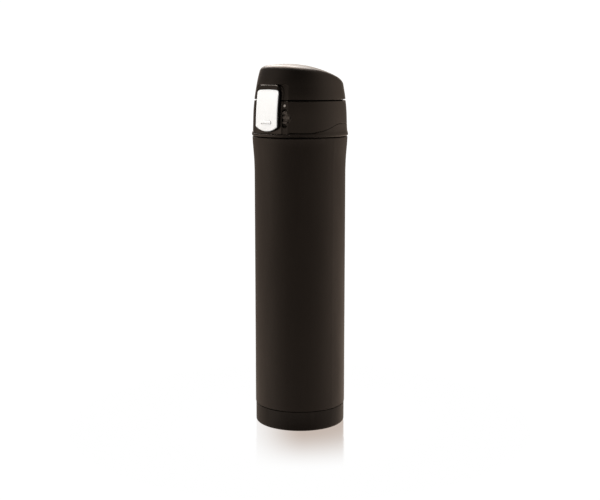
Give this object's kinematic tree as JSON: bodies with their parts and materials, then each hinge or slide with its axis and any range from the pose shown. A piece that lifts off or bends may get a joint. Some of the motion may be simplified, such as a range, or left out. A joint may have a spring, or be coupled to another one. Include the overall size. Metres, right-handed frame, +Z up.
{
  "type": "vacuum flask",
  "caption": "Slim double-walled vacuum flask with a screw-on drinking collar, push-button flip lid and side lock slider.",
  "frame": {"origin": "middle of the base, on the surface the flask stands on", "axes": "+Z up along the flask, -Y towards the push button, +Y towards the lid hinge, +X towards the lock slider"},
  "size_m": [0.0652, 0.0665, 0.2466],
  "materials": {
    "body_paint": "powder coat, very fine texture",
    "vessel_steel": "electropolished",
    "base_plastic": "matte",
    "plate_steel": "mill finish",
    "seal_cap": "pressed",
    "getter_metal": "sintered",
    "foil": "bright foil",
    "trim_plastic": "satin",
    "deck_plastic": "smooth",
    "carrier_plastic": "smooth",
    "collar_plastic": "satin",
    "spout_plastic": "smooth",
    "gasket_silicone": "silicone",
    "pin_steel": "ground",
    "spring_steel": "drawn wire",
    "mark_paint": "pale inlay",
    "lid_plastic": "satin",
    "liner_plastic": "smooth",
    "button_finish": "white, satin",
    "lever_plastic": "moulded",
    "slider_plastic": "satin"
  },
  "bodies": {
    "flask": {"outer_shell": "body_paint", "inner_vessel": "vessel_steel", "base_cup": "base_plastic", "bottom_plate": "plate_steel", "vacuum_seal": "seal_cap", "getter": "getter_metal", "radiation_foil": "foil"},
    "gasket": {"mouth_gasket": "gasket_silicone"},
    "collar": {"collar_band": "trim_plastic", "collar_cover": "collar_plastic", "collar_deck": "deck_plastic", "thread_carrier": "carrier_plastic", "plug_sleeve": "carrier_plastic", "spout": "spout_plastic", "hinge_pin": "pin_steel", "hinge_spring": "spring_steel", "button_pin": "pin_steel", "button_spring": "spring_steel", "lock_mark": "mark_paint"},
    "lid": {"lid_shell": "lid_plastic", "lid_liner": "liner_plastic", "spout_seal": "gasket_silicone"},
    "button": {"release_button": "button_finish", "button_lever": "lever_plastic"},
    "lock": {"lock_slider": "slider_plastic"}
  },
  "joints": [
    {"name": "unscrew_lift", "type": "slide", "parent": "flask", "child": "gasket", "axis": [0, 0, 1], "range_m": [0, 0.012]},
    {"name": "unscrew_turn", "type": "hinge", "parent": "gasket", "child": "collar", "pos_m": [0, 0, 0.2], "axis": [0, 0, 1], "range_deg": [0, 1080]},
    {"name": "lid_open", "type": "hinge", "parent": "collar", "child": "lid", "pos_m": [0, 0.0315, 0.2228], "axis": [-1, 0, 0], "range_deg": [0, 110]},
    {"name": "button_press", "type": "hinge", "parent": "collar", "child": "button", "pos_m": [0, -0.0282, 0.214], "axis": [1, 0, 0], "range_deg": [0, 5], "stiffness_Nm_per_rad": 0.2, "springref_deg": -5.73},
    {"name": "lock_slide", "type": "slide", "parent": "collar", "child": "lock", "axis": [0, 0, 1], "range_m": [-0.0018, 0]}
  ],
  "couplings": [
    {"joint": "unscrew_lift", "follows": "unscrew_turn", "m_per_rad": 0.00063662}
  ]
}
